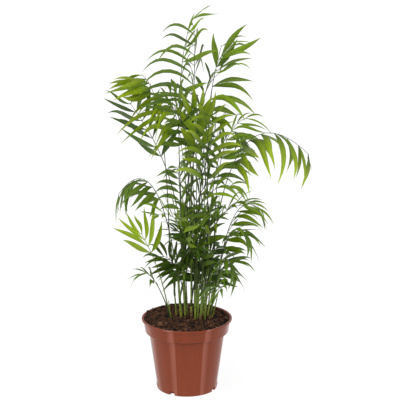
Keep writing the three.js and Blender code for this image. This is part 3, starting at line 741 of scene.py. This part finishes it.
plan = [standFrond(row, i) for i, row in enumerate(fronds + tierRows())]
for frond in plan:
    frond["leaves"] = standLeaves(frond)
print("plan:", len(plan), "fronds,", sum(len(f["leaves"]) for f in plan), "leaflets")


stems = dict(
    sides=14, rows=130, slimmer=0.55, nodeGap=[13, 21], nodeRise=0.18, nodeLength=0.9, tipLength=3.5,
    pale=(166, 170, 78), green=(112, 136, 42), dark=(52, 70, 22), scar=(86, 76, 38),
    young=(112, 140, 44),
    roughness=0.42, specular=0.3, streaks=900, clouds=60, youngStreaks=75,  # streaks to a metre
    shoots=14, shootRadius=[0.8, 1.25], shootTop=[135, 235], shootRing=[6, 26],
)


def shootRows():
    # thin young stalks among the canes, each on its own seeded foot, lean and height
    number = np.arange(stems["shoots"])
    turn = number * 2.399 + chance(number + 3)
    away = mix(*stems["shootRing"], chance(number * 7 + 1))
    rows = []
    for i, angle, reach in zip(number, turn, away):
        foot = [6 + reach * math.cos(angle), 3 + 0.8 * reach * math.sin(angle)]
        lean = [0.45 * foot[0] - 3, 0.55 * foot[1]]
        rows.append(dict(foot=foot, lean=lean, top=mix(*stems["shootTop"], chance(i * 5 + 2)),
                         radius=mix(*stems["shootRadius"], chance(i * 9 + 4)) / stems["slimmer"]))
    return rows


def makeCanes():
    # the plan's line; r = radius slimmer (1 + rise exp(-(d / length)^2)), with d from the nearest node,
    # times sqrt(c (2 - c)), where c falls from 1 to 0 along the tip
    standing = canes + shootRows()
    s = np.linspace(0, 1, stems["rows"])
    middles = np.stack([caneMiddle(row, s) for row in standing])
    radii = np.stack([caneRadius(row, s) for row in standing]) * stems["slimmer"]
    gaps = mix(*stems["nodeGap"], chance(np.arange(len(standing)) * 3 + 1))[:, None]
    height = middles[..., 2] - middles[:, :1, 2]
    fromNode = (np.mod(height / gaps + 0.35, 1) - 0.5) * gaps
    radii *= 1 + stems["nodeRise"] * np.exp(-(fromNode / stems["nodeLength"]) ** 2)
    left = middles[:, -1:, 2] - middles[..., 2]
    close = np.clip(left / stems["tipLength"], 0.02, 1)
    radii *= np.sqrt(close * (2 - close))
    rings = tubeRings(middles, radii, np.tile([1.0, 0, 0], (len(standing), 1)), stems["sides"])
    feet = middles[:, 0] - [0, 0, 0.5]
    shades = np.zeros((len(standing), stems["rows"] * stems["sides"] + 2))
    shades[:, :-2] = np.repeat(np.exp(-((fromNode + 0.4) / 1.1) ** 2), stems["sides"], axis=1)
    return makeTubes("caneStems", rings, feet, middles[:, -1], 60, shades.ravel())


def caneSkin():
    # smooth green cane: pale at the foot, darker up the plant, a brownish line at each node
    material, surface = newMaterial("caneSkin", stems)
    place = objectPlace(surface)
    cloud = noise(place, stems["clouds"], 3, 0.6)
    up = maths("ADD", axes(place)["Z"], ramp(cloud, 0.3, 0.7, -0.02, 0.02))
    colour = layer(stems["pale"], stems["green"], up, 0.096, 0.12)
    colour = layer(colour, stems["dark"], up, 0.13, 0.19)
    young = noise(scaled(place, (1, 1, 0.03)), stems["youngStreaks"], 1, 0.5)
    colour = layer(colour, stems["young"], young, 0.42, 0.62, 0.6)
    streaks = noise(scaled(place, (1, 1, 0.08)), stems["streaks"], 3, 0.6)
    colour = tinted(colour, ramp(streaks, 0.3, 0.7), (0.8, 0.8, 0.8), (1.15, 1.15, 1.1))
    colour = layer(colour, stems["scar"], pieceShade(surface), 0.25, 0.9, 0.8)
    cover(surface, colour, streaks, 0.25, 0.0004)
    return material


husk = dict(
    sides=16, rows=12, wall=0.45, height=[5, 11], ragged=2.0, canes=[1, 4, 7, 9],
    brown=(96, 70, 44), pale=(150, 124, 84), roughness=0.75, specular=0.2, streaks=1300,
)


def makeHusks():
    # dry sheaths round some feet: r = cane + wall (1 + 0.8 s^2) at the turn a, with the edge raised by
    # ragged (sin 2a + 0.6 sin 5a) s^2
    numbers = np.array(husk["canes"])
    tall = mix(*husk["height"], chance(numbers * 5 + 2))
    turn = evenTurns(husk["sides"])
    s = np.linspace(0, 1, husk["rows"])
    rings, starts, ends = [], [], []
    for number, height in zip(numbers, tall):
        row = canes[number]
        foot = soilHeight(*row["foot"]) - 2
        middles = caneMiddle(row, caneShareAt(row, foot + s * height))
        radius = caneRadius(row, 0) * stems["slimmer"] + husk["wall"] * (1 + 0.8 * s * s)
        ring = tubeRings(middles[None], radius[None], np.array([[1.0, 0, 0]]), husk["sides"])[0]
        wave = np.sin(turn * 2 + number) + 0.6 * np.sin(turn * 5 + number * 2)
        ring[..., 2] += husk["ragged"] * wave * (s * s)[:, None]
        rings.append(ring)
        starts.append(middles[0])
        ends.append(middles[-1] - [0, 0, 2.5])
    return makeTubes("caneHusks", np.array(rings), np.array(starts), np.array(ends), 50)


def huskPaper():
    # dry papery sheath: brown and straw streaks that run up the cane
    material, surface = newMaterial("huskPaper", husk)
    streaks = noise(scaled(objectPlace(surface), (1, 1, 0.06)), husk["streaks"], 4, 0.65)
    colour = layer(husk["brown"], husk["pale"], streaks, 0.35, 0.65)
    cover(surface, colour, streaks, 0.6, 0.0005)
    return material


caneNodes = [f"cane_{i + 1}" for i in range(len(canes))]
finishPiece(makeCanes(), caneSkin(), caneNodes)
finishPiece(makeHusks(), huskPaper())


ribs = dict(
    sides=8, rows=26, foot=0.85, tip=0.32, sheath=[16, 26], sheathWall=0.42,
    green=(76, 96, 28), dark=(42, 54, 20), pale=(130, 146, 44),
    roughness=0.48, specular=0.22, clouds=45, streaks=1500,
)


def ribLine(frond):
    # sheath: the cane's own line, leaving sideways by stand smooth(0.3, 1, s); then the frond's curve
    holder = canes[frond["cane"]]
    s = np.array([0, 0.04, 0.16, 0.3, 0.44, 0.58, 0.72, 0.86])
    depth = mix(*ribs["sheath"], chance(frond["seed"] + 5))
    height = frond["start"] - depth * (1 - s)
    aside = smooth(0.3, 1.0, s)
    share = caneShareAt(holder, height)
    sheath = caneMiddle(holder, share) + frond["out"] * (frond["stand"] * aside)[:, None]
    wide = mix(caneRadius(holder, share) * stems["slimmer"] + ribs["sheathWall"], ribs["foot"] + 0.2,
               smooth(0.25, 1.0, s))
    wide[0] *= 0.6
    along = np.linspace(0, 1, ribs["rows"])
    t, _ = bendPlace(frond["line"], along)
    radius = mix(ribs["foot"], ribs["tip"], along ** 0.8)
    return np.concatenate([sheath, bend(frond["line"], t)]), np.concatenate([wide, radius])


def makeRibs(name, chosen):
    # a tube along each frond's line, of its radii, closed just past the line's end
    lines = [ribLine(frond) for frond in chosen]
    middles, radii = np.stack([a for a, _ in lines]), np.stack([b for _, b in lines])
    across = np.stack([[-math.sin(f["turn"]), math.cos(f["turn"]), 0.0] for f in chosen])
    rings = tubeRings(middles, radii, across, ribs["sides"])
    tips = middles[:, -1] + unit(middles[:, -1] - middles[:, -2]) * 0.6
    return makeTubes(name, rings, middles[:, 0], tips, 80)


def ribSkin(name, lower, upper):
    # fibrous green stalk with fine streaks, darker in patches
    material, surface = newMaterial(name, ribs)
    place = objectPlace(surface)
    colour = layer(lower, upper, noise(place, ribs["clouds"], 3, 0.6), 0.35, 0.65)
    fine = noise(place, ribs["streaks"], 2, 0.6)
    colour = tinted(colour, ramp(fine, 0.3, 0.7), (0.86, 0.86, 0.86), (1.12, 1.12, 1.12))
    cover(surface, colour, fine, 0.2, 0.0003)
    return material


leaflet = dict(
    stations=[0, 0.05, 0.12, 0.21, 0.32, 0.44, 0.57, 0.7, 0.82, 0.92],
    rise=0.45, point=1.2,  # where the outline has opened, and how pointed it ends
    rootHalf=0.5, sunk=0.12, thick=0.3, fold=[0.4, 0.14], bulge=0.1, wave=0.08,
    sickle=[0.02, 0.26], twist=[-45, 45], droopPower=[2.0, 3.4], arch=[0.1, 0.4],
    sway=[-0.035, 0.035], hang=0.7, drawIn=2.0,
    streaks=(1.2, 10, 1), veins=62, dry=(150, 120, 62),
)


def pick(leaves, *keys):
    # the values of each key as an array of leaflets, one station, and numbers
    return [np.array([leaf[key] for leaf in leaves], float).reshape(len(leaves), 1, -1) for key in keys]


def anyOf(seed, kind, span):
    return mix(*span, chance(seed * 3.7 + kind * 11))


def leafletLine(leaves, u):
    # root + aim L u - up droop L u^power + arc L u (1 - u) + sway L sin 2 pi u, and its direction;
    # arc bends it up by arch, and back by sickle, or ahead by hang where the leaflet points down;
    # the root is moved back along aim, into the rib, by sunk (1 - u)
    root, aim, ahead, length, droop, seed = pick(leaves, "root", "aim", "ahead", "length", "droop", "seed")
    power, sickle = anyOf(seed, 1, leaflet["droopPower"]), anyOf(seed, 2, leaflet["sickle"])
    hangs = smooth(0.1, 0.6, -aim[..., 2:])
    arc = upward * anyOf(seed, 5, leaflet["arch"]) * droop * 2
    arc = arc + ahead * (hangs * leaflet["hang"] - (1 - hangs) * sickle)
    sway = upward * anyOf(seed, 6, leaflet["sway"]) + ahead * anyOf(seed, 7, leaflet["sway"])
    bowed = arc * u * (1 - u) + sway * np.sin(2 * math.pi * u)
    start = root - aim * leaflet["sunk"] * (1 - u)
    middle = start + (aim * u - upward * droop * u ** power + bowed) * length
    run = aim - upward * droop * power * np.maximum(u, 1e-3) ** (power - 1)
    return middle, unit(run + arc * (1 - 2 * u) + sway * 2 * math.pi * np.cos(2 * math.pi * u))


def growLeaflets(leaves, slim):
    # the section at u has six points (across, up): (w, wave - fold), (w / 2, bulge - fold / 2), (0, 0),
    # (-w / 2, bulge - fold / 2), (-w, -wave - fold) and (0, -thick); w is slim width / 2 times
    # (1 - (1 - u / rise)^2) (1 - ((u - 0.3) / 0.7)^2)^point, each held at its ends, or rootHalf (1 - u);
    # one that would pass the part's box is drawn in by how far it would, most at its middle
    aim, ahead, side, width, seed = pick(leaves, "aim", "ahead", "side", "width", "seed")
    u = np.array(leaflet["stations"] + [1.0])[None, :, None]
    middle, run = leafletLine(leaves, u)
    x = unit(np.cross(unit(np.cross(ahead, aim) * side), run))
    y = np.cross(run, x)
    turn = np.radians(anyOf(seed, 3, leaflet["twist"])) * u ** 1.3
    x, y = x * np.cos(turn) + y * np.sin(turn), y * np.cos(turn) - x * np.sin(turn)
    outline = 1 - (1 - np.minimum(1, u / leaflet["rise"])) ** 2
    outline = outline * (1 - np.clip((u - 0.3) / 0.7, 0, 1) ** 2) ** leaflet["point"]
    w = np.maximum(slim * width / 2 * outline, leaflet["rootHalf"] * (1 - u))
    fold, bulge = mix(*leaflet["fold"], u) * w, leaflet["bulge"] * w
    wave = leaflet["wave"] * w * np.sin(2 * math.pi * (1.6 * u + anyOf(seed, 4, [0, 1])))
    section = [(w, -fold + wave), (w / 2, -fold / 2 + bulge), (0 * w, 0 * w),
               (-w / 2, -fold / 2 + bulge), (-w, -fold - wave), (0 * w, -leaflet["thick"] + 0 * w)]
    rings = np.stack([middle + x * h + y * v for h, v in section], axis=2)
    low, high = [np.array(corner) / mm for corner in cadBox]
    over = np.maximum(0, rings.max((1, 2)) - high) + np.minimum(0, rings.min((1, 2)) - low)
    rings -= (over * leaflet["drawIn"])[:, None, None] * (4 * u * (1 - u))[:, :, None]
    mesh = closedTubes(rings[:, :-1], middle[:, 0], middle[:, -1])
    shades = np.repeat(chance(seed.ravel() * 1.9 + 0.7), mesh[0].shape[0] // len(leaves))
    return mesh, leafletMap(u, len(leaves)), shades


def leafletMap(u, count):
    # (place along, place across) of each point, from (0, 0) to (1, 1), with both ends at the middle
    across = [1, 0.75, 0.5, 0.25, 0, 0.5]  # the six points of a section
    spread = np.stack(np.broadcast_arrays(u[0, :-1], across), -1).reshape(-1, 2)
    return np.tile(np.concatenate([spread, [[0, 0.5], [1, 0.5]]]), (count, 1))


def leafBlade(name, look):
    # leaf skin: fine veins along the blade, lengthwise streaks that are partly veins and partly painted
    # sheen, a paler midrib, soft patches, some light let through
    material, surface = newMaterial(name, look)
    output = surface.outputs[0].links[0].to_socket
    uv = node("UVMap", {}, surface.id_data, uv_map="surface").outputs[0]
    along, across, _ = axes(uv)
    patches = noise(objectPlace(surface), look["patch"], 3, 0.6)
    shade = pieceShade(surface)
    colour = layer(look["dark"], look["light"], patches, 0.32, 0.68)
    colour = layer(colour, look["other"], shade, 0.0, 1.0, 0.6)
    lightness = maths("FRACT", maths("MULTIPLY", shade, 7.3))
    colour = tinted(colour, lightness, (0.6, 0.62, 0.64), (1.24, 1.2, 1.1))
    # the tip colour runs in toward the tip; in the look with the brightest tips, used by right_droop and
    # right_arch, it is painted light on the hanging ends
    colour = layer(colour, look["tip"], along, 0.1, 0.9, look["tipped"])
    # lengthwise streaks, partly the blade's vein stripes and partly painted sheen: pale glossy streaks
    # that light makes
    streaks = noise(scaled(uv, leaflet["streaks"]), 1.0, 3, 0.6)
    colour = tinted(colour, ramp(streaks, 0.35, 0.65), (0.62, 0.66, 0.6), (1.3, 1.24, 1.16))
    off = maths("ABSOLUTE", maths("SUBTRACT", across, 0.5))
    colour = layer(colour, look["midrib"], off, 0.05, 0.0, 0.5)
    colour = layer(colour, leaflet["dry"], along, 0.93, 1.0, look["dryTip"])
    ridges = maths("SINE", maths("MULTIPLY", across, leaflet["veins"]))
    cover(surface, colour, maths("ADD", ramp(ridges, -1, 1, 0, 0.4), streaks), 0.22, 0.0004)
    lit = blend(1.0, colour, (*look["through"], 1), "MULTIPLY")
    through = node("BsdfTranslucent", {"Color": lit}).outputs[0]
    shared = node("MixShader", {0: look["lets"], 1: surface.outputs[0], 2: through})
    link(shared.outputs[0], output)
    return material


# what every look has unless it says otherwise; lets is the share of light that comes through
lookRule = dict(tipped=0.5, patch=22, roughness=0.4, specular=0.26, through=(1.3, 1.4, 0.6), dryTip=0.2)
looks = dict(
    deep=dict(slot="frond_deep", dark=(34, 62, 8), light=(68, 104, 18), other=(88, 120, 34),
        tip=(78, 114, 20), midrib=(104, 128, 56), patch=26, slim=1, lets=0.16, through=(1.3, 1.4, 0.7),
        dryTip=0.3),
    mid=dict(slot="frond_mid", dark=(48, 80, 8), light=(92, 128, 20), other=(122, 152, 34),
        tip=(110, 146, 20), midrib=(130, 152, 60), patch=24, slim=0.88, lets=0.2, through=(1.3, 1.4, 0.7),
        dryTip=0.35),
    # the look below, for right_droop and right_arch, paints light on the leaflets' hanging ends: its
    # bright yellow-green tip colour covers most of each leaflet's outer part
    litTips=dict(slot="frond_mid", dark=(44, 78, 8), light=(84, 122, 18), other=(110, 144, 26),
        tip=(176, 200, 14), midrib=(136, 160, 50), tipped=0.95, patch=24, slim=0.86, roughness=0.36,
        lets=0.22),
    fresh=dict(slot="frond_fresh", dark=(70, 108, 4), light=(122, 158, 8), other=(146, 176, 18),
        tip=(142, 174, 8), midrib=(150, 170, 60), slim=0.88, roughness=0.38, lets=0.24, dryTip=0.4),
    bright=dict(slot="frond_fresh", dark=(76, 120, 4), light=(138, 174, 4), other=(156, 184, 8),
        tip=(186, 204, 6), midrib=(160, 184, 50), slim=0.92, roughness=0.38, lets=0.26,
        through=(1.3, 1.4, 0.5)),
    pale=dict(slot="frond_pale", dark=(146, 182, 0), light=(176, 206, 0), other=(158, 188, 2),
        tip=(182, 206, 2), midrib=(184, 200, 50), slim=0.94, lets=0.3, through=(1.3, 1.3, 0.5)),
)
# fronds that have another look than their tone's
otherLook = dict(left_fan="bright", front_arcs="bright", centre_blade="bright", right_droop="litTips",
                 right_arch="litTips")

for tone, own in looks.items():
    look = {**lookRule, **own}
    chosen = [frond for frond in plan if tone == otherLook.get(frond["name"], frond["tone"])]
    lower, upper = (ribs["green"], ribs["pale"]) if tone == "pale" else (ribs["dark"], ribs["green"])
    named = tone.capitalize()
    skin = ribSkin("ribSkin" + named, lower, upper)
    finishPiece(makeRibs("ribs" + named, chosen), skin)
    leaves = [leaf for frond in chosen for leaf in frond["leaves"]]
    mesh, uv, shades = growLeaflets(leaves, look["slim"])
    piece = makePiece("leaflets" + named, *mesh, crease=50, uv=uv, shades=shades)
    finishPiece(piece, leafBlade("leafBlade" + named, look),
                ["frond_" + frond["name"] for frond in chosen])


# metres and degrees; focal and picture are pixels
room = dict(
    floor=300.0, floorColour=(0.12, 0.12, 0.12, 1), floorFleck=(0.14, 0.14, 0.14, 1), floorGlow=0.88,
    roughness=0.9, specular=0.2, grain=40,  # the floor's
    sky=[0.55, 0.95], sun=1.35, sunWay=(0.4, 0.8, -1.5), sunWidth=70,
    strips=dict(stripLeft=dict(azimuth=-50, width=0.55, power=26),
                stripRight=dict(azimuth=60, width=0.5, power=22)),
    stripAway=1.6, stripHeight=0.3, stripTall=1.8, stripAim=0.05,
    camera=(0.0175, -1.6, 0.64), down=13.47, focal=1266, picture=400, sensor=36, farthest=400,
)


def makeFloor():
    # a flat square from -half to half in x and y, that glows a little
    half = room["floor"] / 2 / mm
    points = np.array([[-half, -half, 0], [half, -half, 0], [half, half, 0], [-half, half, 0]], float)
    floor = makePiece("floor", points, np.array([[0, 1, 2, 3]]), np.zeros((0, 3), int), 40)
    material, surface = newMaterial("floorPaper", room)
    grain = noise(objectPlace(surface), room["grain"], 2, 0.5)
    link(layer(room["floorColour"], room["floorFleck"], grain, 0.3, 0.7), surface.inputs["Base Color"])
    surface.inputs["Emission Color"].default_value = (1, 1, 1, 1)
    surface.inputs["Emission Strength"].default_value = room["floorGlow"]
    floor.data.materials.append(material)


def makeSky():
    # an even white room that is brighter overhead: horizon and zenith strengths by the view's height
    world = bpy.data.worlds.new("studio")
    bpy.context.scene.world = world
    world.use_nodes = True
    back = world.node_tree.nodes["Background"]
    back.inputs["Color"].default_value = (1, 1, 1, 1)
    way = node("TexCoord", {}, world.node_tree).outputs["Generated"]
    link(ramp(axes(way)["Z"], 0, 1, *room["sky"]), back.inputs["Strength"])


def addLamp(name, kind, place, way, power):
    # a lamp at place that shines along way
    lamp = bpy.data.lights.new(name, kind)
    lamp.energy = power
    holder = standObject(name, lamp)
    holder.location = place
    flat = math.hypot(way[0], way[1])
    holder.rotation_euler = (math.atan2(flat, -way[2]), 0, math.atan2(way[1], way[0]) - math.pi / 2)
    return holder


def addStrip(name, strip):
    # an upright soft light, seen in reflections only; its azimuth is from the front, to the right
    turn, away = math.radians(strip["azimuth"]), room["stripAway"]
    place = np.array([away * math.sin(turn), -away * math.cos(turn), room["stripHeight"]])
    holder = addLamp(name, "AREA", place, [0, 0, room["stripAim"]] - place, strip["power"])
    holder.data.shape = "RECTANGLE"
    holder.data.size, holder.data.size_y = strip["width"], room["stripTall"]
    holder.visible_diffuse = False
    holder.visible_transmission = False


def makeCamera():
    camera = bpy.data.cameras.new("camera")
    camera.sensor_width = room["sensor"]
    camera.lens = room["focal"] / room["picture"] * camera.sensor_width
    camera.clip_end = room["farthest"]
    holder = standObject("camera", camera)
    holder.location = room["camera"]
    holder.rotation_euler = (math.radians(90 - room["down"]), 0, 0)
    bpy.context.scene.camera = holder


makeFloor()
makeSky()
softSun = addLamp("softSun", "SUN", (0, 0, 0), room["sunWay"], room["sun"])
softSun.data.angle = math.radians(room["sunWidth"])
for name, strip in room["strips"].items():
    addStrip(name, strip)
makeCamera()
bpy.context.scene.view_settings.view_transform = "Standard"
print("room ready")
